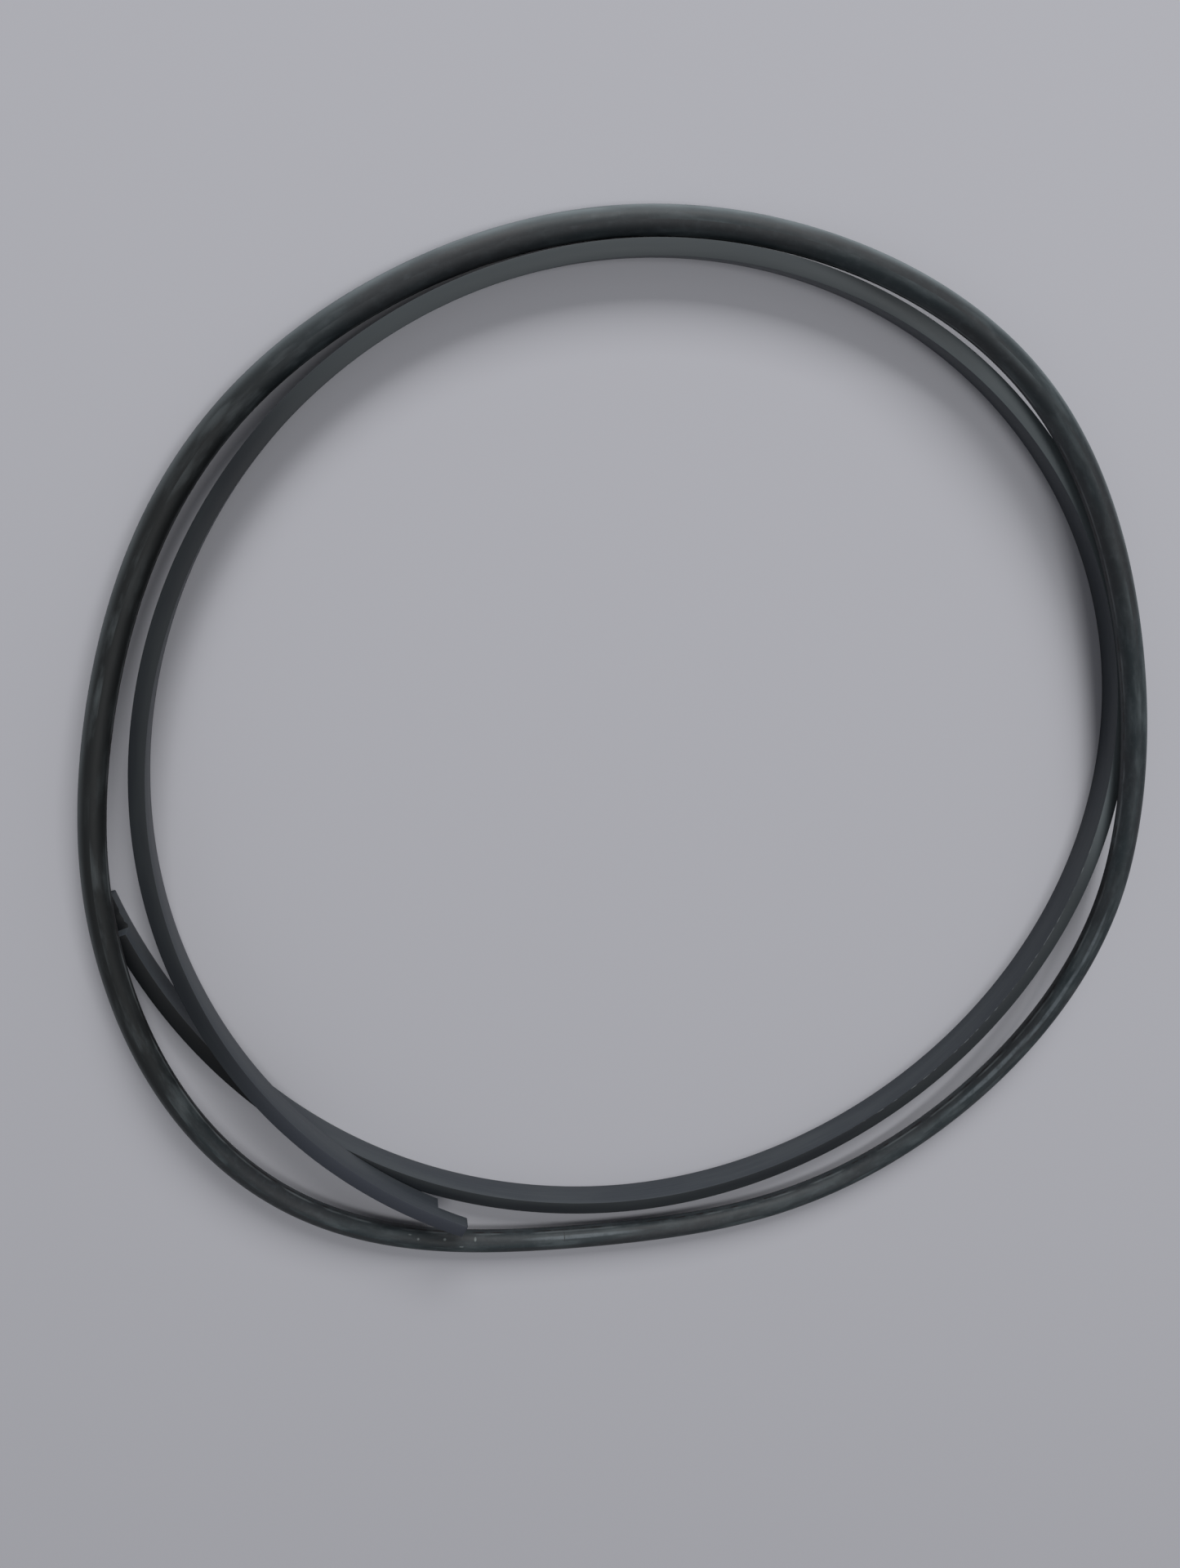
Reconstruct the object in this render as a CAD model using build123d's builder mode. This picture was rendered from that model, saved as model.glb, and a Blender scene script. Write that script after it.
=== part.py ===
from build123d import *
import os
from math import cos, pi, radians, sin

# Piston seal for a hydraulic cylinder, in the loose state in which it is handed over.
# It is two rings. A split plastic slide ring is coiled up smaller than its working
# size, so that its two step-cut ends pass each other. A limp rubber load ring lies
# around it and partly on top of it. Both lie on a floor at Z = 0.
#
# Lengths are in millimetres. Bearings are in degrees, counter-clockwise from +X as
# seen from above. The coil is longer than one turn, so its bearings run past 360.

os.makedirs("parts", exist_ok=True)

# ---------------------------------------------------------------- driving sizes
# Slide ring: rectangular section, standing on its side face.
SLIDE_WIDTH = 8.0  # along the cylinder's axis, so upwards here
SLIDE_THICKNESS = 4.0  # radial
COIL_RADIUS = 134.5  # to the inner wall
COIL_WAVES = ((1, 1.0, 28.0), (2, 1.0, 75.0), (3, 0.9, -4.0))
LOW_TIP = 187.4  # bearing of the end that lies on the floor
HIGH_TIP = 606.5  # bearing of the end that lies on top
LOW_FLARE = 14.3  # how far the low end springs outwards
LOW_FLARE_SPAN = 76.0
HIGH_FLARE = 6.6  # how far the high end springs outwards
HIGH_FLARE_SPAN = 50.5
TONGUE_LENGTH = 10.0  # of the half-width tongue at each step-cut end
CLIMB_START = 468.0  # bearing where the coil starts to rise
CLIMB_END = 570.0  # bearing where it is clear of its own low end

# Load ring: round rubber cord, moulded endless.
CORD_DIAMETER = 7.0
LOAD_WAVES = (
    (1, 7.85, 242.5),
    (2, 2.85, 77.0),
    (3, 2.65, 92.0),
    (4, 2.6, 47.0),
    (5, 0.7, 10.0),
    (6, 0.6, 51.0),
    (7, 0.4, 33.0),
    (8, 0.2, 9.0),
)
# Coil bearings over which the load ring lies against the coil's outer wall.
SIDE_BY_SIDE = range(430, 491)
# Where the load ring lies on top of the slide ring: middle bearing, half span.
LOAD_RESTS = ((16.5, 27.5), (194.5, 4.0))
LIFT_SPAN = 65.0  # from such a place down to the floor

REST_GAP = 0.3  # between the two rings, and between the coil and its own low end

# How finely the two routes are followed.
FLAT_STATIONS = 56
CLIMB_STATIONS = 28
LOAD_KNOTS = 60
ARC_SHARE = 0.45  # of a run that the arc at its end takes up


# ---------------------------------------------------------------- outlines
def waves(table, bearing):
    """How far a ring bulges at a bearing: crests per turn, height, bearing of a crest."""
    return sum(height * cos(radians(count * (bearing - crest))) for count, height, crest in table)


def flare(amount, span, from_tip):
    """Outward spring of a free end, growing with the square of the way to its tip."""
    way = max(0.0, 1.0 - from_tip / span)
    return amount * way**2


def coil_radius(bearing):
    """Radius of the slide ring's inner wall."""
    low_end = flare(LOW_FLARE, LOW_FLARE_SPAN, bearing - LOW_TIP)
    high_end = flare(HIGH_FLARE, HIGH_FLARE_SPAN, HIGH_TIP - bearing)
    return COIL_RADIUS + waves(COIL_WAVES, bearing) + low_end + high_end


def coil_height(bearing):
    """Height of the slide ring's underside: flat, then an even climb over its own low end."""
    way = (bearing - CLIMB_START) / (CLIMB_END - CLIMB_START)
    way = min(1.0, max(0.0, way))
    return (SLIDE_WIDTH + REST_GAP) * way**2 * (3 - 2 * way)


def touching_radius(bearing):
    """Mean radius of a load ring that lies against the coil's outer wall at this bearing."""
    outer_wall = coil_radius(bearing) + SLIDE_THICKNESS
    return outer_wall + REST_GAP + CORD_DIAMETER / 2 - waves(LOAD_WAVES, bearing)


LOAD_RADIUS = max(touching_radius(bearing) for bearing in SIDE_BY_SIDE)


def load_radius(bearing):
    """Radius of the load ring's centre line."""
    return LOAD_RADIUS + waves(LOAD_WAVES, bearing)


def load_height(bearing):
    """Height of the load ring's centre line, with the sag of a heavy cord beside each rest."""
    lift = 0.0
    for middle, half_span in LOAD_RESTS:
        aside = abs((bearing - middle + 180) % 360 - 180)
        way = 1 - max(0.0, aside - half_span) / LIFT_SPAN
        way = max(0.0, way)
        lift = max(lift, 4 * way**3 - 3 * way**4)
    return CORD_DIAMETER / 2 + (SLIDE_WIDTH + REST_GAP) * lift


def from_polar(radius, bearing, height):
    """Point at a bearing, measured from the coil's own middle."""
    return Vector(radius * cos(radians(bearing)), radius * sin(radians(bearing)), height)


def load_point(bearing):
    return from_polar(load_radius(bearing), bearing, load_height(bearing))


def coil_point(bearing):
    return from_polar(coil_radius(bearing), bearing, coil_height(bearing))


# The part's origin is on the floor, in the middle of the load ring's outline.
outline = [load_point(bearing) for bearing in range(360)]
MIDDLE = Vector(
    (min(p.X for p in outline) + max(p.X for p in outline)) / 2,
    (min(p.Y for p in outline) + max(p.Y for p in outline)) / 2,
)


# ---------------------------------------------------------------- slide ring
def coil_plane(bearing):
    """Upright section plane on the inner wall: X outwards, Y up, looking back along the coil."""
    ahead = coil_point(bearing + 0.1) - coil_point(bearing - 0.1)
    course = Vector(ahead.X, ahead.Y).normalized()
    outwards = Vector(course.Y, -course.X)
    return Plane(origin=coil_point(bearing) - MIDDLE, x_dir=outwards, z_dir=-course)


# Each end keeps half of its width as a tongue: the lower half at the low end, the upper
# half at the high end. Tip, underside of the relief, way along the plane into the ring.
STEP_CUTS = ((LOW_TIP, SLIDE_WIDTH / 2, -1), (HIGH_TIP, 0.0, 1))


def stations(first, last, count):
    """Evenly spaced bearings, both ends included."""
    return [first + (last - first) * i / count for i in range(count + 1)]


def wall(bearings, distance):
    """Foot of the coil at this distance outside its inner wall."""
    planes = [coil_plane(bearing) for bearing in bearings]
    return [plane.origin + plane.x_dir * distance for plane in planes]


with BuildPart() as slide_ring:
    # The turn that lies flat is drawn in plan and raised.
    flat_bearings = stations(LOW_TIP, CLIMB_START, FLAT_STATIONS)
    with BuildSketch():
        with BuildLine():
            inner_wall = Spline(wall(flat_bearings, 0.0))
            outer_wall = Spline(wall(flat_bearings, SLIDE_THICKNESS))
            Line(inner_wall @ 0, outer_wall @ 0)
            Line(inner_wall @ 1, outer_wall @ 1)
        make_face()
    extrude(amount=SLIDE_WIDTH)
    # The rest climbs over the low end.
    for bearing in stations(CLIMB_START, HIGH_TIP, CLIMB_STATIONS):
        with BuildSketch(coil_plane(bearing)):
            Rectangle(SLIDE_THICKNESS, SLIDE_WIDTH, align=(Align.MIN, Align.MIN))
    loft()
    for tip, underside, inwards in STEP_CUTS:
        with BuildSketch(coil_plane(tip)):
            with Locations((SLIDE_THICKNESS / 2, underside + SLIDE_WIDTH / 4)):
                Rectangle(2 * SLIDE_THICKNESS, SLIDE_WIDTH / 2)
        extrude(amount=inwards * TONGUE_LENGTH, mode=Mode.SUBTRACT)

slide_ring.part.label = "slide_ring"
export_step(slide_ring.part, "parts/slide_ring.step")


# ---------------------------------------------------------------- load ring
# The knots stand a little outside the outline, so that the runs between them touch it.
stand_out = 1 / cos(pi / LOAD_KNOTS)
knots = []
for i in range(LOAD_KNOTS):
    bearing = 360 * i / LOAD_KNOTS
    knot = from_polar(load_radius(bearing) * stand_out, bearing, load_height(bearing))
    knots.append(knot - MIDDLE)


def joined_runs(first, last):
    """Straight runs from knot to knot, joined by tangent arcs, drawn into the open line."""
    for i in range(first, last):
        before, here, after, beyond = (knots[(i + step) % LOAD_KNOTS] for step in (-1, 0, 1, 2))
        run_in, run_out, next_run = here - before, after - here, beyond - after
        reach = ARC_SHARE * min(run_in.length, run_out.length)
        next_reach = ARC_SHARE * min(run_out.length, next_run.length)
        arc_end = here + run_out.normalized() * reach
        TangentArc(here - run_in.normalized() * reach, arc_end, tangent=run_in)
        Line(arc_end, after - run_out.normalized() * next_reach)


HALVES = ((0, LOAD_KNOTS // 2), (LOAD_KNOTS // 2, LOAD_KNOTS))

with BuildPart() as load_ring:
    for first, last in HALVES:
        with BuildLine() as centre_line:
            joined_runs(first, last)
        route = centre_line.wire()
        with BuildSketch(Plane(origin=route @ 0, z_dir=route % 0)):
            Circle(CORD_DIAMETER / 2)
        sweep(path=route)

load_ring.part.label = "load_ring"
export_step(load_ring.part, "parts/load_ring.step")
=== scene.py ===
# %% [markdown]
# # A large piston seal, loose on a bench
#
# A hydraulic piston seal of this size is two rings. The slide ring is a strip of filled
# plastic, cut through so that it can be sprung over the piston, and it rubs on the
# cylinder. The load ring is a plain loop of rubber cord that lies under it in the groove
# and pushes it outwards. Handed over loose, the slide ring is coiled up small, with its
# two ends past each other, and the limp load ring lies around it and partly on top.
#
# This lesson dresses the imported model. The places and sizes come from the frame, and
# everything is in metres, with Z up and the floor at Z = 0.

# %% Load the frame
from math import atan2, cos, pi, radians, sin

import bmesh
import bpy
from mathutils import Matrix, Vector


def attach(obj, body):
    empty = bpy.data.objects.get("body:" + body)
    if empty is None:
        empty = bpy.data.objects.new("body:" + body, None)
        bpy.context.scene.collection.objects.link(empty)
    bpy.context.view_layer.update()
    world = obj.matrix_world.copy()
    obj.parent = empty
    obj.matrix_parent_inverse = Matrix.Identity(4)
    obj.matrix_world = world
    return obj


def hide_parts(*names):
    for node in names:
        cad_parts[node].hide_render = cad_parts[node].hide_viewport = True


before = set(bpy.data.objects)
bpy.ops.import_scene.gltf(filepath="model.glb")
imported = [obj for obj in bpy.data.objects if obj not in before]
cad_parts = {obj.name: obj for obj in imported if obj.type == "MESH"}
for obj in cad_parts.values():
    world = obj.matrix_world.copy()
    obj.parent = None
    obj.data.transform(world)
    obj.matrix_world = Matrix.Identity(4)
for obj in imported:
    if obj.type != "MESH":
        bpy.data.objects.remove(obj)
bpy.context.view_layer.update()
bpy.ops.object.select_all(action="DESELECT")
MM = 0.001

# %% [markdown]
# ## The camera
#
# The rings are seen from above and from the upper left, from about a third of a metre
# away. The lens is a phone's main camera, a little wide, and that is why the inner wall
# of the coil shows on the far side and hides on the near one. The camera comes first, so
# that every later step can be looked at through it.

# %% Add the camera
COIL_MIDDLE = Vector((3.08, 3.48, 0)) * MM
CAMERA_OVER_COIL = Vector((-68.8, 120.5, 302.3)) * MM
CAMERA_LEAN = (-21.0, -9.7, 0)  # degrees about X, Y and Z, from looking straight down
SENSOR_WIDTH = 36
FOCAL_LENGTH = 27.3

bpy.ops.object.camera_add(location=COIL_MIDDLE + CAMERA_OVER_COIL)
camera = bpy.context.object
camera.rotation_euler = [radians(turn) for turn in CAMERA_LEAN]
camera.data.sensor_width = SENSOR_WIDTH
camera.data.lens = FOCAL_LENGTH
camera.data.clip_start = 10 * MM
bpy.context.scene.camera = camera
print("camera height in mm:", round(camera.location.z / MM))

# %% [markdown]
# ## The two routes
#
# Both rings are bars bent along a line, so the lines come first. A real split ring
# springs outwards at its free ends, and neither ring is a true circle once it is out of
# its groove, so each outline is a circle with a few slow waves added. The heights say
# who lies on whom: the coil climbs over its own low end, and the rubber cord is lifted
# in two places by the slide ring, from which it sags back to the floor in the curve of
# a heavy cord.

# %% Outlines of both rings, in millimetres and degrees
SLIDE_WIDTH = 8.0
SLIDE_THICKNESS = 4.0
COIL_RADIUS = 134.5
# Each wave has its crests per turn, its height and the bearing of one crest.
COIL_WAVES = ((1, 1.0, 28.0), (2, 1.0, 75.0), (3, 0.9, -4.0))
LOW_TIP, HIGH_TIP = 187.4, 606.5
# How far each free end springs outwards, and over how many degrees.
LOW_FLARE, LOW_FLARE_SPAN = 14.3, 76.0
HIGH_FLARE, HIGH_FLARE_SPAN = 6.6, 50.5
TONGUE_LENGTH = 10.0
CLIMB_START, CLIMB_END = 468.0, 570.0

CORD_DIAMETER = 7.0
LOAD_WAVES = (
    (1, 7.85, 242.5), (2, 2.85, 77.0), (3, 2.65, 92.0), (4, 2.6, 47.0),
    (5, 0.7, 10.0), (6, 0.6, 51.0), (7, 0.4, 33.0), (8, 0.2, 9.0),
)
# Bearings where the load ring lies beside the coil and may not run into it.
SIDE_BY_SIDE = range(430, 491)
# The middle and half the span of each stretch that lies on the slide ring, and how far
# the cord needs to sag from it to the floor.
LOAD_RESTS = ((16.5, 27.5), (194.5, 4.0))
LIFT_SPAN = 65.0
REST_GAP = 0.3


def waves(table, bearing):
    """How far a ring bulges at a bearing: crests per turn, height, bearing of a crest."""
    return sum(height * cos(radians(count * (bearing - crest))) for count, height, crest in table)


def coil_radius(bearing):
    """Inner wall of the slide ring, with the outward spring of its two free ends."""
    low_way = max(0.0, 1 - (bearing - LOW_TIP) / LOW_FLARE_SPAN)
    high_way = max(0.0, 1 - (HIGH_TIP - bearing) / HIGH_FLARE_SPAN)
    spring = LOW_FLARE * low_way**2 + HIGH_FLARE * high_way**2
    return COIL_RADIUS + waves(COIL_WAVES, bearing) + spring


def coil_height(bearing):
    """Underside of the slide ring: flat, then an even climb over its own low end."""
    way = min(1.0, max(0.0, (bearing - CLIMB_START) / (CLIMB_END - CLIMB_START)))
    return (SLIDE_WIDTH + REST_GAP) * way**2 * (3 - 2 * way)


def touching_radius(bearing):
    """Mean radius of a load ring that lies against the coil's outer wall here."""
    outer_wall = coil_radius(bearing) + SLIDE_THICKNESS
    return outer_wall + REST_GAP + CORD_DIAMETER / 2 - waves(LOAD_WAVES, bearing)


LOAD_RADIUS = max(touching_radius(bearing) for bearing in SIDE_BY_SIDE)
print("mean radius of the load ring in mm:", round(LOAD_RADIUS, 1))


def load_radius(bearing):
    """Centre line of the load ring, seen from above."""
    return LOAD_RADIUS + waves(LOAD_WAVES, bearing)


def load_height(bearing):
    """Centre line of the load ring, sagging from each place where it is held up."""
    lift = 0.0
    for middle, half_span in LOAD_RESTS:
        aside = abs((bearing - middle + 180) % 360 - 180)
        way = max(0.0, 1 - max(0.0, aside - half_span) / LIFT_SPAN)
        lift = max(lift, 4 * way**3 - 3 * way**4)
    return CORD_DIAMETER / 2 + (SLIDE_WIDTH + REST_GAP) * lift


def from_polar(radius, bearing, height):
    """A point at this distance and bearing from the coil's middle."""
    return Vector((radius * cos(radians(bearing)), radius * sin(radians(bearing)), height))


# %% [markdown]
# ## Laying the routes as curves
#
# A curve object can bend a straight mesh along itself. Its Z-up twist keeps a section
# upright all the way round, which is just how a flat-sided ring lies on a table. The
# points come from the formulas above, close enough together that no corner shows.

# %% Draw the two curves
POINTS_PER_DEGREE = 2


def lay_curve(name, points, closed):
    """A curve through these points, given in millimetres."""
    data = bpy.data.curves.new(name, "CURVE")
    data.dimensions = "3D"
    data.twist_mode = "Z_UP"
    spline = data.splines.new("POLY")
    spline.points.add(len(points) - 1)
    for knot, point in zip(spline.points, points):
        knot.co = (*(point * MM), 1)
    spline.use_cyclic_u = closed
    curve = bpy.data.objects.new(name, data)
    bpy.context.collection.objects.link(curve)
    print(name, "is", round(spline.calc_length() / MM, 1), "mm long")
    return curve, spline.calc_length()


outline = [from_polar(load_radius(bearing), bearing, 0) for bearing in range(360)]
MIDDLE = Vector((
    (min(p.x for p in outline) + max(p.x for p in outline)) / 2,
    (min(p.y for p in outline) + max(p.y for p in outline)) / 2,
    0,
))

coil_steps = round((HIGH_TIP - LOW_TIP) * POINTS_PER_DEGREE)
coil_points = []
for step in range(coil_steps + 1):
    bearing = LOW_TIP + (HIGH_TIP - LOW_TIP) * step / coil_steps
    coil_points.append(from_polar(coil_radius(bearing), bearing, coil_height(bearing)) - MIDDLE)
coil_route, coil_length = lay_curve("coil_route", coil_points, closed=False)

load_points = []
for step in range(360 * POINTS_PER_DEGREE):
    bearing = step / POINTS_PER_DEGREE
    load_points.append(from_polar(load_radius(bearing), bearing, load_height(bearing)) - MIDDLE)
load_route, load_length = lay_curve("load_route", load_points, closed=True)


def way_along(points, share):
    """Metres from the start of a route to this share of its points."""
    passed = points[:round(share * len(points)) + 1]
    return sum((b - a).length for a, b in zip(passed, passed[1:])) * MM


def coil_way(bearing):
    """Metres along the slide ring from its low tip to this bearing."""
    return way_along(coil_points, (bearing - LOW_TIP) / (HIGH_TIP - LOW_TIP))


def load_way(bearing):
    """Metres along the load ring to this bearing."""
    return way_along(load_points, bearing / 360)


# %% [markdown]
# ## Helpers for work in edit mode
#
# An operator acts on what is selected, so most steps are the same two lines: pick some
# faces, edges or points by where they are, then run the operator. Two small helpers do
# the picking, and one more bends a finished bar along its route.

# %% Selecting and bending
# How nearly a normal or an edge must point along X to be picked, as a cosine.
SQUARE_ON = 0.9


def pick(piece, kind, test):
    """Select exactly the faces, edges or vertices of the edited piece that pass the test."""
    mesh = bmesh.from_edit_mesh(piece.data)
    for group in (mesh.verts, mesh.edges, mesh.faces):
        for element in group:
            element.select = False
    bpy.ops.mesh.select_mode(type=kind)
    chosen = {"VERT": mesh.verts, "EDGE": mesh.edges, "FACE": mesh.faces}[kind]
    count = 0
    for element in chosen:
        if test(element):
            element.select_set(True)
            count += 1
    mesh.select_flush_mode()
    bmesh.update_edit_mesh(piece.data)
    return count


def runs_along(edge):
    """True for an edge that follows the bar, which lies along X while it is straight."""
    start, end = (vert.co for vert in edge.verts)
    return abs(end.x - start.x) > SQUARE_ON * (end - start).length


def bend_along(piece, route):
    """Bend a straight piece along a route for good."""
    modifier = piece.modifiers.new("follow", "CURVE")
    modifier.object = route
    modifier.deform_axis = "POS_X"
    bpy.context.view_layer.objects.active = piece
    bpy.ops.object.modifier_apply(modifier=modifier.name)
    bpy.data.objects.remove(route)


# %% [markdown]
# ## The slide ring, first as a straight bar
#
# The maker cuts this ring from a turned tube of plastic and saws a step through it: each
# end keeps half of the width as a tongue, and when the ring is closed the tongues lie
# side by side and seal. It could be swept along its curve at once, but then the two
# step cuts would have to be made on a slope. It is much easier to model it straight,
# cuts and all, and bend it last. The inner wall is at Y = 0 and the outer wall towards
# -Y, because a curve's left side is the inside of an anticlockwise turn.

# %% Make the bar and its two tongues
tongue = TONGUE_LENGTH * MM
width, thickness = SLIDE_WIDTH * MM, SLIDE_THICKNESS * MM

bpy.ops.mesh.primitive_cube_add(
    size=1,
    location=(coil_length / 2, -thickness / 2, width / 2),
    scale=(coil_length - 2 * tongue, thickness, width),
)
slide_ring = bpy.context.object
slide_ring.name = "step_cut_slide_ring"
bpy.ops.object.transform_apply(location=True, rotation=True, scale=True)

bpy.ops.object.mode_set(mode="EDIT")
bpy.ops.mesh.select_all(action="SELECT")
bpy.ops.mesh.bisect(plane_co=(0, 0, width / 2), plane_no=(0, 0, 1))

pick(slide_ring, "FACE", lambda f: f.normal.x < -SQUARE_ON and f.calc_center_median().z < width / 2)
bpy.ops.mesh.extrude_region_move(TRANSFORM_OT_translate={"value": (-tongue, 0, 0)})
pick(slide_ring, "FACE", lambda f: f.normal.x > SQUARE_ON and f.calc_center_median().z > width / 2)
bpy.ops.mesh.extrude_region_move(TRANSFORM_OT_translate={"value": (tongue, 0, 0)})
bpy.ops.object.mode_set(mode="OBJECT")
print("bar with tongues:", len(slide_ring.data.polygons), "faces")

# %% [markdown]
# The tips are what catches on everything when the ring is handled, so their corners are
# worn rounder than the rest, and the face at the very end is no longer quite square.

# %% Wear the two tips
TIP_WEAR = 0.35 * MM
AT_THE_END = 0.01 * MM

bpy.ops.object.mode_set(mode="EDIT")
for end, inwards in ((0.0, 1), (coil_length, -1)):
    pick(slide_ring, "EDGE", lambda e: all(abs(v.co.x - end) < AT_THE_END for v in e.verts))
    bpy.ops.mesh.bevel(offset=TIP_WEAR, segments=2, affect="EDGES")
    pick(slide_ring, "VERT", lambda v: abs(v.co.x - end) < AT_THE_END and v.co.y > -thickness / 2)
    bpy.ops.transform.translate(value=(inwards * TIP_WEAR, 0, 0))
bpy.ops.object.mode_set(mode="OBJECT")
print("bar with worn tips:", len(slide_ring.data.polygons), "faces")

# %% [markdown]
# A bar can only bend where it has edges, so its long edges are divided until no piece
# is much more than a millimetre. One round makes at most a hundred cuts, so the body of
# the bar takes two of them, and the short tongues need only one.

# %% Divide the bar
BODY_CUTS = 29
TONGUE_CUTS = 9

bpy.ops.object.mode_set(mode="EDIT")
for cuts, shortest in ((BODY_CUTS, 2 * tongue), (BODY_CUTS, 2 * tongue), (TONGUE_CUTS, tongue / 2)):
    pick(slide_ring, "EDGE", lambda e: runs_along(e) and e.calc_length() > shortest)
    bpy.ops.mesh.subdivide(number_cuts=cuts)
bpy.ops.object.mode_set(mode="OBJECT")
print("divided bar:", len(slide_ring.data.polygons), "faces")

# %% [markdown]
# The saw that cut the step left a ragged burr on the inner edge of the low tongue, next
# to the shoulder. The few points on that edge are pushed about at random, with a fixed
# seed, so that the burr is the same each time.

# %% Leave a burr beside the shoulder
BURR_LENGTH = 5 * MM
BURR_SIZE = 0.5 * MM
BURR_SEED = 5
ON_THE_EDGE = 0.1 * MM


def in_burr(vert):
    """True for a point on the sawn inner edge, within reach of the shoulder."""
    along, across, up = vert.co
    return (
        tongue - BURR_LENGTH < along < tongue - ON_THE_EDGE
        and abs(across) < ON_THE_EDGE
        and abs(up - width / 2) < ON_THE_EDGE
    )


bpy.ops.object.mode_set(mode="EDIT")
print("burr on", pick(slide_ring, "VERT", in_burr), "points")
bpy.ops.transform.translate(value=(0, -BURR_SIZE / 3, -BURR_SIZE / 3))
bpy.ops.transform.vertex_random(offset=BURR_SIZE, uniform=0, normal=0, seed=BURR_SEED)
bpy.ops.object.mode_set(mode="OBJECT")

# %% [markdown]
# The corners of a machined plastic ring look sharp, but a real corner is never perfect.
# A bevel about a tenth of a millimetre wide gives it the thin line of light that the
# eye expects.

# %% Break the corners
EDGE_BREAK = 0.12 * MM

corners = slide_ring.modifiers.new("corners", "BEVEL")
corners.width = EDGE_BREAK
corners.segments = 2
corners.limit_method = "ANGLE"
corners.angle_limit = radians(40)
bpy.ops.object.modifier_apply(modifier=corners.name)
print("bar with broken corners:", len(slide_ring.data.polygons), "faces")

# %% [markdown]
# ## Unwrapping while it is still straight
#
# The turning lines and smears on the rings follow them round. The simplest map for that
# is made now: U is the distance along the bar and V the distance around its section,
# both in metres. The map bends with the mesh, so a pattern on it stays true.

# %% Map the bar
# A face whose normal has at least this much Z is a side face.
FACES_UP = 0.7


def map_along(piece, around):
    """Give the piece a map of metres along it and metres around it."""
    layer = piece.data.uv_layers.new(name="along")
    for face in piece.data.polygons:
        for corner in face.loop_indices:
            place = piece.data.vertices[piece.data.loops[corner].vertex_index].co
            layer.data[corner].uv = (place.x, around(place, face))


def around_bar(place, face):
    """Up the walls, and across the two side faces."""
    if abs(face.normal.z) > FACES_UP:
        return place.z - place.y
    return place.z


map_along(slide_ring, around_bar)
bend_along(slide_ring, coil_route)
print("slide ring box in mm:", [round(side / MM, 1) for side in slide_ring.dimensions])

# %% [markdown]
# ## The load ring
#
# Rubber rings are moulded in two halves. Where the halves of the mould meet, a thin line
# of rubber is left, one on the inside of the ring and one on the outside, and trimming
# leaves it slightly ragged. The ring starts as a straight open tube with edges exactly
# on those two lines, which are then drawn out into ridges about as high as a hair is
# thick. The ridges stand within the cord's nominal diameter. Two rounds of cuts divide
# the tube into pieces of half a millimetre.

# %% Make the cord
SIDES_AROUND = 48
CORD_CUTS = 41
RIDGE_HEIGHT = 0.06 * MM
cord_radius = CORD_DIAMETER / 2 * MM - 1.5 * RIDGE_HEIGHT

bpy.ops.mesh.primitive_cylinder_add(
    vertices=SIDES_AROUND,
    radius=cord_radius,
    depth=load_length,
    end_fill_type="NOTHING",
    location=(load_length / 2, 0, 0),
    rotation=(0, radians(90), 0),
)
load_ring = bpy.context.object
load_ring.name = "rubber_load_ring"
bpy.ops.object.transform_apply(location=True, rotation=True, scale=True)

bpy.ops.object.mode_set(mode="EDIT")
for _ in range(2):
    pick(load_ring, "EDGE", runs_along)
    bpy.ops.mesh.subdivide(number_cuts=CORD_CUTS)
for side in (1, -1):
    pick(load_ring, "VERT", lambda v: abs(v.co.z) < 0.1 * cord_radius and v.co.y * side > 0)
    bpy.ops.transform.translate(value=(0, side * RIDGE_HEIGHT, 0))
    bpy.ops.transform.vertex_random(offset=RIDGE_HEIGHT / 2, uniform=0, normal=0, seed=side + 2)
bpy.ops.object.mode_set(mode="OBJECT")
print("cord:", len(load_ring.data.polygons), "faces")

# %% [markdown]
# The map's seam is put at the back of the cord, underneath, where nobody looks. Then the
# cord is bent round its closed route, and its two ends, which now meet, are joined.

# %% Map, bend and close the cord
JOIN_WITHIN = 0.02 * MM


def around_cord(place, face):
    """Way around the section from its underside, with no jump inside a face."""
    middle = face.center
    turn = atan2(middle.y, -middle.z)
    step = atan2(place.y, -place.z) - turn
    step = (step + pi) % (2 * pi) - pi
    return (turn + step) * cord_radius


map_along(load_ring, around_cord)
bend_along(load_ring, load_route)

bpy.ops.object.mode_set(mode="EDIT")
bpy.ops.mesh.select_all(action="SELECT")
bpy.ops.mesh.remove_doubles(threshold=JOIN_WITHIN)
bpy.ops.mesh.normals_make_consistent(inside=False)
bpy.ops.object.mode_set(mode="OBJECT")
print("load ring box in mm:", [round(side / MM, 1) for side in load_ring.dimensions])

# %% [markdown]
# ## Telling the frame
#
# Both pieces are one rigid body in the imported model, so they ride on its root. Each
# stands for the plain solid of the same ring.

# %% Ride on the frame
SMOOTH_BELOW = radians(35)

for piece, node, slot in (
    (slide_ring, "slide_ring", "slide_plastic"),
    (load_ring, "load_ring", "load_rubber"),
):
    bpy.context.view_layer.objects.active = piece
    piece.select_set(True)
    bpy.ops.object.shade_smooth_by_angle(angle=SMOOTH_BELOW)
    piece.select_set(False)
    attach(piece, "root")
    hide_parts(node)
    print(piece.name, "stands for", node)

# %% [markdown]
# ## Material helpers
#
# Colours are written as they look on a screen, in sRGB hex, and one function turns them
# into the linear numbers that Blender mixes. Another adds a node, with its settings and
# links, so that each material below reads as a list of steps. The last one closes a
# material with its shader and puts it on a piece.

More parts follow.
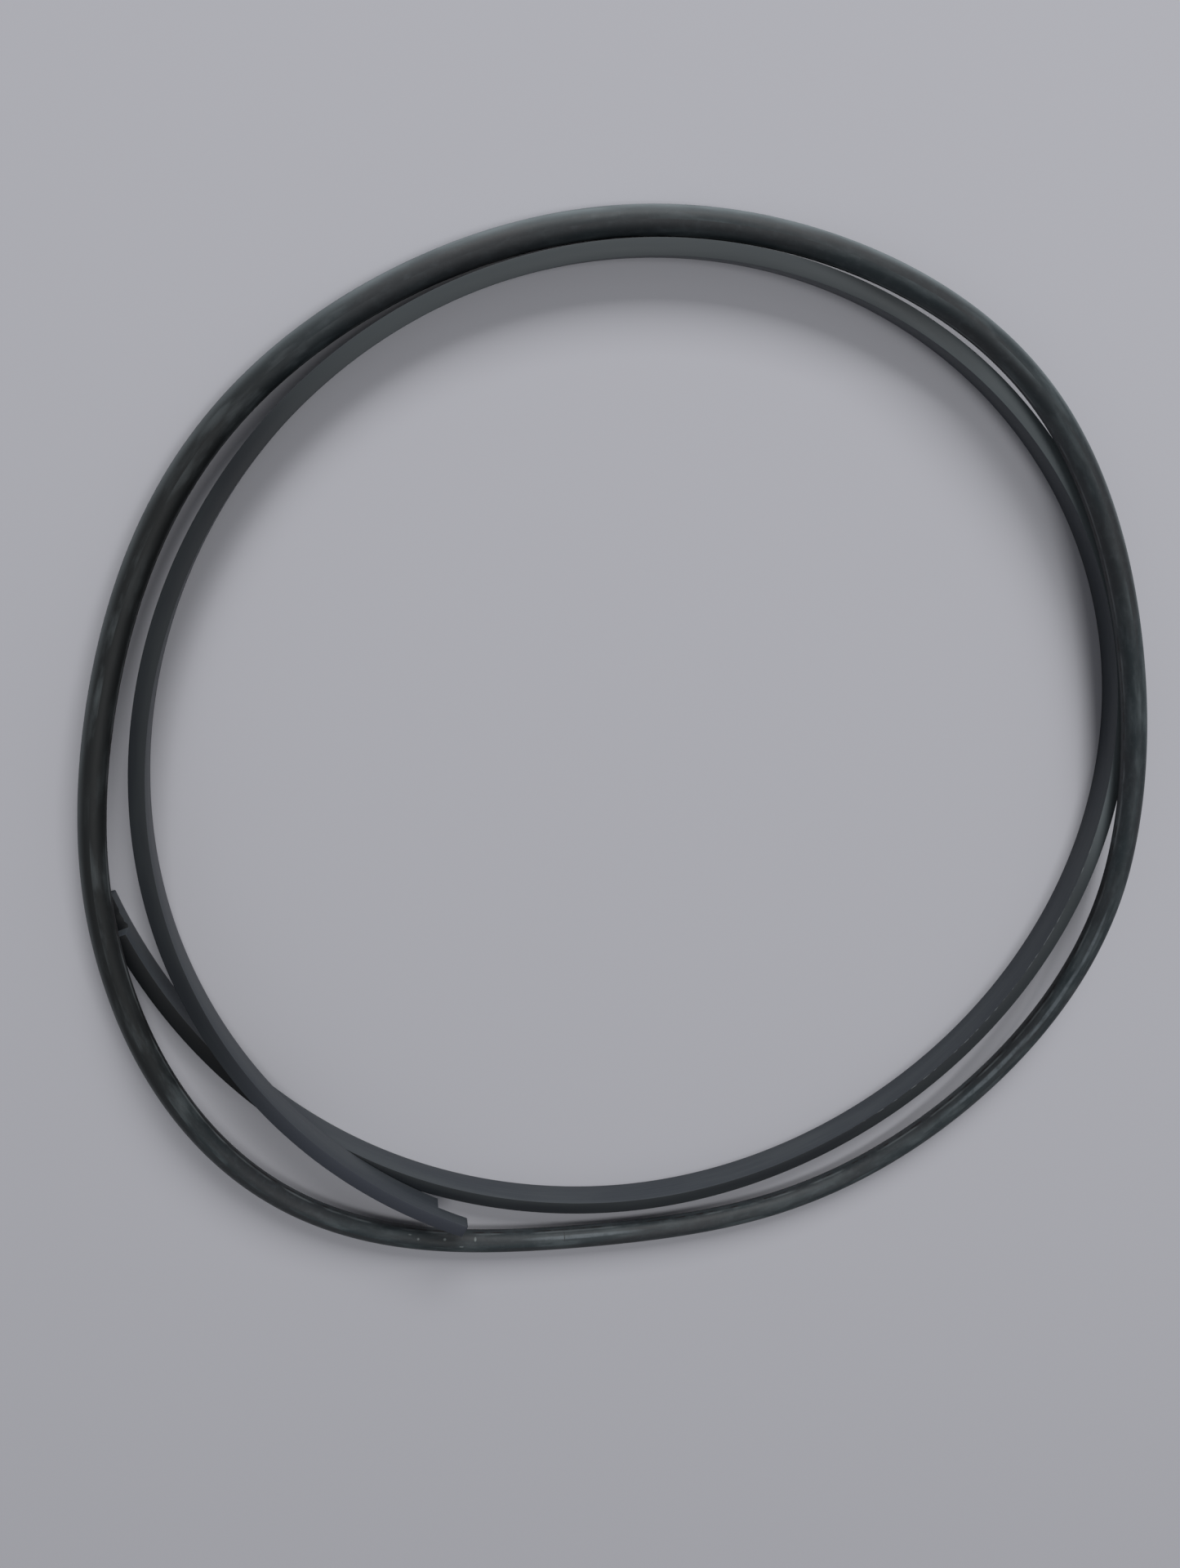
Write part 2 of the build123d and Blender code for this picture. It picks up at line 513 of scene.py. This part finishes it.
# %% Colours and nodes
COLOURS = {"data_type": "RGBA"}
SOFT_ENDS = {"interpolation_type": "SMOOTHSTEP"}
ADD = {"operation": "ADD"}
SUBTRACT = {"operation": "SUBTRACT"}
MULTIPLY = {"operation": "MULTIPLY"}
LARGER = {"operation": "MAXIMUM"}
SIZE_ONLY = {"operation": "ABSOLUTE"}
LENGTH = {"operation": "LENGTH"}


def colour(code):
    """An sRGB hex colour as linear red, green, blue and alpha."""
    parts = [int(code[i:i + 2], 16) / 255 for i in (1, 3, 5)]
    linear = [c / 12.92 if c <= 0.04045 else ((c + 0.055) / 1.055) ** 2.4 for c in parts]
    return (*linear, 1.0)


def add(tree, kind, settings=None, *values, **named):
    """Add a node with its settings, and fill its inputs in order or by name.

    A value is a number, a colour, an output of another node, or a whole node, which
    stands for the first of its outputs that is in use.
    """
    node = tree.nodes.new("ShaderNode" + kind)
    for name, setting in (settings or {}).items():
        setattr(node, name, setting)
    in_order = zip([socket for socket in node.inputs if socket.enabled], values)
    by_name = [(node.inputs[name], value) for name, value in named.items()]
    for socket, value in [*in_order, *by_name]:
        if isinstance(value, bpy.types.Node):
            value = next(output for output in value.outputs if output.enabled)
        if isinstance(value, bpy.types.NodeSocket):
            tree.links.new(value, socket)
        else:
            socket.default_value = value
    return node


def new_material(name):
    """A material with an empty tree."""
    material = bpy.data.materials.new(name)
    material.use_nodes = True
    material.node_tree.nodes.clear()
    return material, material.node_tree


def finish_material(material, piece, inputs):
    """Close the tree with a shader that has these inputs, and dress the piece in it."""
    tree = material.node_tree
    shader = add(tree, "BsdfPrincipled", None, **inputs)
    add(tree, "OutputMaterial", None, shader)
    piece.data.materials.clear()
    piece.data.materials.append(material)
    print(material.name, "on", piece.name, "with", len(tree.nodes), "nodes")


# %% [markdown]
# ## Patterns on a map
#
# Every pattern here is made of noise, bands and ovals on the map of metres, so its size
# on the ring is known. Noise is given by the size of its cells in millimetres. Bands and
# ovals are masks: one where they are, zero elsewhere, with soft rims.

# %% Noise, bands and ovals
def stretched_noise(tree, uv, along, around, detail=3.0, roughness=0.5, shift=0.0):
    """Noise on the map, in cells of this many millimetres along and around the ring."""
    scale = (1 / (along * MM), 1 / (around * MM), 1.0)
    placed = add(tree, "Mapping", None, Vector=uv, Location=(shift, shift, shift), Scale=scale)
    return add(tree, "TexNoise", None, Vector=placed, Scale=1.0, Detail=detail, Roughness=roughness)


def band(tree, coordinate, middle, half_width, softness):
    """One inside a band of the map, zero outside it, with soft sides. Sizes in metres."""
    off = add(tree, "Math", SIZE_ONLY, add(tree, "Math", SUBTRACT, coordinate, middle))
    return add(tree, "MapRange", SOFT_ENDS, off, half_width, half_width + softness, 1.0, 0.0)


def patch(tree, uv, way, around, half_length, half_width):
    """One in the middle of an oval on the map, fading to zero at its rim. Sizes in metres."""
    placed = add(
        tree, "Mapping", None, Vector=uv,
        Location=(-way / half_length, -around / half_width, 0.0),
        Scale=(1 / half_length, 1 / half_width, 1.0),
    )
    return add(tree, "MapRange", SOFT_ENDS, add(tree, "VectorMath", LENGTH, placed), 0.4, 1.0, 1.0, 0.0)


def product(tree, *factors):
    """Several masks or numbers multiplied together."""
    result = factors[0]
    for factor in factors[1:]:
        result = add(tree, "Math", MULTIPLY, result, factor)
    return result


# %% [markdown]
# ## Filled plastic
#
# Slide rings of this kind are PTFE or nylon with a dark filler. The blank is turned on a
# lathe, so the two walls have hair-fine lines that run round the ring and scatter the
# light, and they read paler. Real turning lines are finer than the eye can part from
# here, so they are drawn at a quarter of a millimetre. The side faces are parted off
# smooth and stay nearly black. The shader tells them apart by the object's own normal,
# which is upright on a side face.

# %% Mix the walls of the slide ring
plastic, tree = new_material("turned_filled_nylon")
uv = add(tree, "UVMap", {"uv_map": "along"})
map_axes = add(tree, "SeparateXYZ", None, uv).outputs
way, around = map_axes["X"], map_axes["Y"]

turning_lines = stretched_noise(tree, uv, along=60, around=0.25)
handling = stretched_noise(tree, uv, along=45, around=5, detail=4.0, shift=4.0)
grain = stretched_noise(tree, uv, along=0.5, around=0.5, detail=2.0, shift=9.0)

cloudy = add(tree, "MapRange", SOFT_ENDS, handling, 0.35, 0.7)
pale_lines = add(tree, "MapRange", SOFT_ENDS, turning_lines, 0.45, 0.75, 0.0, 0.3)
wall_colour = add(tree, "Mix", COLOURS, cloudy, colour("#3A3F45"), colour("#464B4F"))
wall_colour = add(tree, "Mix", COLOURS, pale_lines, wall_colour, colour("#54595D"))

# %% [markdown]
# The side face is not the same all along. Over the right and upper stretch of the coil it
# is painted paler, with a still paler patch on the upper right, as a painted reflection of
# the light that falls there; near the high tip it is bluish; and the low end, over which
# the cord lies, is painted darkest as painted shade. Each stretch is a mask on the distance
# along the ring, and its limits are bearings, which the routes turn into metres.

# %% Mix the side faces and join them to the walls
face_colour = add(tree, "Mix", COLOURS, cloudy, colour("#1E2227"), colour("#272C2F"))
# Painted sheen: the side face is painted paler from the lower right round to the top, bearings 300 to
# 500, where it reflects the light.
painted_sheen_stretch = product(
    tree,
    add(tree, "MapRange", SOFT_ENDS, way, coil_way(300), coil_way(365)),
    add(tree, "MapRange", SOFT_ENDS, way, coil_way(475), coil_way(500), 1.0, 0.0),
)
# Painted reflection: a still paler patch on the upper right, near bearing 400, where the side face
# catches the light.
painted_reflection_patch = band(tree, way, coil_way(385), coil_way(408) - coil_way(385), coil_way(405) - coil_way(385))
near_high_tip = add(tree, "MapRange", SOFT_ENDS, way, coil_way(560), coil_way(590))
# Painted shade: the side face of the low end, under and beside the cord, is painted darkest.
painted_shade_under_cord = add(tree, "MapRange", SOFT_ENDS, way, coil_way(215), coil_way(245), 1.0, 0.0)
for stretch, code in (
    (painted_sheen_stretch, "#43494C"), (painted_reflection_patch, "#70797C"), (near_high_tip, "#3B3F48"), (painted_shade_under_cord, "#111417"),
):
    face_colour = add(tree, "Mix", COLOURS, stretch, face_colour, colour(code))

own_axes = add(tree, "SeparateXYZ", None, add(tree, "TexCoord").outputs["Normal"]).outputs
upright = add(tree, "Math", SIZE_ONLY, own_axes["Z"])
side_face = add(tree, "MapRange", SOFT_ENDS, upright, 0.35, 0.75)
charcoal = add(tree, "Mix", COLOURS, side_face, wall_colour, face_colour)

# %% [markdown]
# Swarf is left on the inner top corner, over a few centimetres, as a thin broken line of
# pale flecks. It is a band around the section, times a band along the ring, times noise.

# %% Add the flecks and finish the plastic
FLECKS_FROM, FLECKS_TO = coil_way(302), coil_way(352)
FLECK_STRENGTH = 0.7

flecks_middle = (FLECKS_FROM + FLECKS_TO) / 2
flecks_half = (FLECKS_TO - FLECKS_FROM) / 2
on_corner = band(tree, around, width + 0.1 * MM, 0.04 * MM, 0.1 * MM)
on_stretch = band(tree, way, flecks_middle, flecks_half * 0.8, flecks_half * 0.4)
specks = stretched_noise(tree, uv, along=3.0, around=40, detail=4.0, shift=2.0)
broken = add(tree, "MapRange", SOFT_ENDS, specks, 0.48, 0.62)
flecks = product(tree, on_corner, on_stretch, broken, FLECK_STRENGTH)
charcoal = add(tree, "Mix", COLOURS, flecks, charcoal, colour("#868B8D"))

gloss = add(tree, "MapRange", SOFT_ENDS, handling, 0.3, 0.7, 0.46, 0.54)
relief = add(tree, "Math", ADD, turning_lines, product(tree, grain, 0.5))
bump = add(tree, "Bump", None, Strength=0.2, Distance=0.02 * MM, Height=relief)
finish_material(
    plastic, slide_ring, {"Base Color": charcoal, "Roughness": gloss, "IOR": 1.45, "Normal": bump}
)

# %% [markdown]
# ## Moulded rubber
#
# Nitrile rubber leaves the mould almost black. In storage, wax and talc work their way
# to the skin as a grey bloom, and every hand that picks the ring up smears it along the
# cord. So the colour is a neutral and a bluish dark, darker as painted shade along the
# left-hand stretch, and a pale layer over them that is partly bloom in long streaks and
# partly painted sheen, and the roughness follows that layer. The map's V runs around the
# cord from its underside, towards the inside of the ring when it grows and towards the
# outside when it falls.

# %% Mix the bare rubber and its painted shade
rubber, tree = new_material("moulded_nitrile_rubber")
uv = add(tree, "UVMap", {"uv_map": "along"})
map_axes = add(tree, "SeparateXYZ", None, uv).outputs
way, around = map_axes["X"], map_axes["Y"]
quarter = pi / 2 * cord_radius

smears = stretched_noise(tree, uv, along=15, around=3.4, detail=4.0, roughness=0.55)
clouds = stretched_noise(tree, uv, along=50, around=8, detail=3.0, shift=3.0)
mottle = stretched_noise(tree, uv, along=3.0, around=2.0, detail=5.0, roughness=0.65, shift=7.0)
skin = stretched_noise(tree, uv, along=0.6, around=0.35, detail=3.0, shift=11.0)

bluish = add(tree, "MapRange", SOFT_ENDS, clouds, 0.4, 0.6)
dull = add(tree, "MapRange", SOFT_ENDS, mottle, 0.45, 0.8, 0.0, 0.6)
# Painted shade: the cord is painted darkest along its left-hand stretch, round bearing 172, which is
# turned away from the light.
painted_shade_left = band(tree, way, load_way(172), load_way(30), load_way(30))
dark = add(tree, "Mix", COLOURS, bluish, colour("#2B2E31"), colour("#263034"))
dark = add(tree, "Mix", COLOURS, dull, dark, colour("#41474B"))
dark = add(tree, "Mix", COLOURS, painted_shade_left, dark, colour("#181B1C"))

# %% [markdown]
# The wide band around the outer side of the cord is partly bloom and partly painted sheen,
# which stands in for the light the outer side reflects. It is uneven with the smears and
# strongest over the upper stretch, as painted sheen where the cord faces the light. Weak
# streaks of bloom lie all over the cord, and the larger of the two shows at each point.

# %% Add the bloom and the painted sheen
BLOOM_AND_SHEEN_EVERYWHERE, TOP_SHEEN_EXTRA = 0.55, 0.7
STREAK_STRENGTH = 0.32

# Partly bloom and partly painted sheen: a pale band on the outer side of the cord, standing in for the
# light it reflects there.
outer_bloom_and_sheen = band(tree, around, -quarter, 1.2 * MM, 3.0 * MM)
# Painted sheen: more of the pale band over the upper stretch, round bearing 70, which faces the light.
painted_sheen_at_top = band(tree, way, load_way(70), load_way(30), load_way(45))
amount = add(tree, "Math", ADD, BLOOM_AND_SHEEN_EVERYWHERE, product(tree, painted_sheen_at_top, TOP_SHEEN_EXTRA))
uneven = add(tree, "MapRange", SOFT_ENDS, smears, 0.2, 0.7, 0.5, 0.95)
streaks = product(
    tree,
    add(tree, "MapRange", SOFT_ENDS, smears, 0.42, 0.7),
    add(tree, "MapRange", SOFT_ENDS, clouds, 0.35, 0.65),
    STREAK_STRENGTH,
)
haze_and_sheen = add(tree, "Math", LARGER, product(tree, outer_bloom_and_sheen, uneven, amount), streaks)
skin_colour = add(tree, "Mix", COLOURS, haze_and_sheen, dark, colour("#757E81"))

# %% [markdown]
# ## Marks of handling, and painted highlights, on the rubber
#
# A few marks are single things in single places, so each gets an oval of its own on the
# map: where it is by bearing, how far over from the top of the cord towards the inside,
# and how long and wide it is. Its rim is broken up with the mottle.

# %% Add the marks
# Partly talc smears and partly painted highlight: the long pale streaks lie on the inner shoulder of
# the cord along its lower stretch, which faces the light.
LONG_SMEARS_AND_HIGHLIGHTS = ((318, 38, 26, 0.9), (329, 30, 22, 0.8), (338, 25, 16, 0.6), (262, 42, 24, 0.8))
PALE_FLECKS = (
    (242, 50, 0.7, 0.3), (243, 33, 0.5, 0.5), (246, 42, 0.6, 0.5),
    (249.5, 48, 0.5, 0.9), (248, 8, 0.9, 0.3),
)
PIT_AND_HAIRLINE = ((258.6, -60, 0.5, 0.4), (260.1, 55, 0.22, 2.6))

for marks, code, strength in (
    (LONG_SMEARS_AND_HIGHLIGHTS, "#656D72", 0.85), (PALE_FLECKS, "#7E8686", 1.0), (PIT_AND_HAIRLINE, "#101212", 1.0),
):
    mask = 0.0
    for bearing, inwards, half_length, half_width in marks:
        place = 2 * quarter - radians(inwards) * cord_radius
        oval = patch(tree, uv, load_way(bearing), place, half_length * MM, half_width * MM)
        mask = add(tree, "Math", LARGER, mask, oval)
    mask = product(tree, mask, add(tree, "MapRange", SOFT_ENDS, mottle, 0.3, 0.6, 0.4, strength))
    skin_colour = add(tree, "Mix", COLOURS, mask, skin_colour, colour(code))
    print(len(marks), "marks of", code)

# %% [markdown]
# The parting line on the inside shows as a dark line with nicks. Just above it runs the
# pale line where the flash was trimmed away.

# %% Add the parting line and finish the rubber
TRIMMED_STRENGTH = 0.6

ragged = stretched_noise(tree, uv, along=4.0, around=30, detail=5.0, shift=5.0)
nicks = add(tree, "MapRange", SOFT_ENDS, ragged, 0.42, 0.6)
parting = product(tree, band(tree, around, quarter + 0.3 * MM, 0.1 * MM, 0.2 * MM), nicks)
skin_colour = add(tree, "Mix", COLOURS, parting, skin_colour, colour("#1A1314"))
above_parting = band(tree, around, quarter + 0.9 * MM, 0.12 * MM, 0.3 * MM)
scraped = add(tree, "MapRange", SOFT_ENDS, smears, 0.4, 0.6)
trimmed = product(tree, above_parting, scraped, TRIMMED_STRENGTH)
skin_colour = add(tree, "Mix", COLOURS, trimmed, skin_colour, colour("#6A7072"))

gloss = add(tree, "MapRange", SOFT_ENDS, haze_and_sheen, 0.0, 0.8, 0.58, 0.72)
relief = add(tree, "Math", ADD, mottle, product(tree, skin, 0.5))
bump = add(tree, "Bump", None, Strength=0.25, Distance=0.04 * MM, Height=relief)
finish_material(
    rubber, load_ring, {"Base Color": skin_colour, "Roughness": gloss, "IOR": 1.5, "Normal": bump}
)

# %% [markdown]
# ## Floor
#
# A plain floor of matt grey paint, far larger than the rings. It belongs to the stage
# and not to the part.

# %% Lay the floor
FLOOR_SIDE = 6

bpy.ops.mesh.primitive_plane_add(size=FLOOR_SIDE, location=(0, 0, 0))
floor = bpy.context.object
floor.name = "floor"
floor_paint, tree = new_material("matt_grey_paint")
finish_material(floor_paint, floor, {"Base Color": colour("#CFCFD5"), "Roughness": 0.9})

# %% [markdown]
# ## Light
#
# Black rubber shows its shape only in what it reflects. A wide panel stands far off
# behind the top of the rings, quite low, so that it grazes the flat side faces and leaves
# them dark, while the walls and the shoulder of the cord that turn towards it are lit. A
# weaker panel, high on the right, shows as a sheen on the right-hand side faces, and the
# grey world fills the rest.

# %% Hang the lights
# The name of each panel, its place and its side in metres, and its power in watts.
PANELS = (
    ("key_panel", (0.25, 2.6, 1.47), 1.1, 54),
    ("right_panel", (0.68, 0.05, 1.88), 0.8, 8),
)
WORLD_STRENGTH = 0.28

for name, place, side, power in PANELS:
    bpy.ops.object.light_add(type="AREA", location=place)
    panel = bpy.context.object
    panel.name = name
    panel.data.size = side
    panel.data.energy = power
    panel.rotation_euler = (-Vector(place)).to_track_quat("-Z", "Y").to_euler()
    print(name, "hangs", round(Vector(place).length, 2), "m from the rings")

world = bpy.data.worlds.new("studio")
bpy.context.scene.world = world
world.use_nodes = True
backdrop = world.node_tree.nodes["Background"]
backdrop.inputs["Color"].default_value = colour("#C9CBD0")
backdrop.inputs["Strength"].default_value = WORLD_STRENGTH
bpy.context.scene.view_settings.view_transform = "Standard"
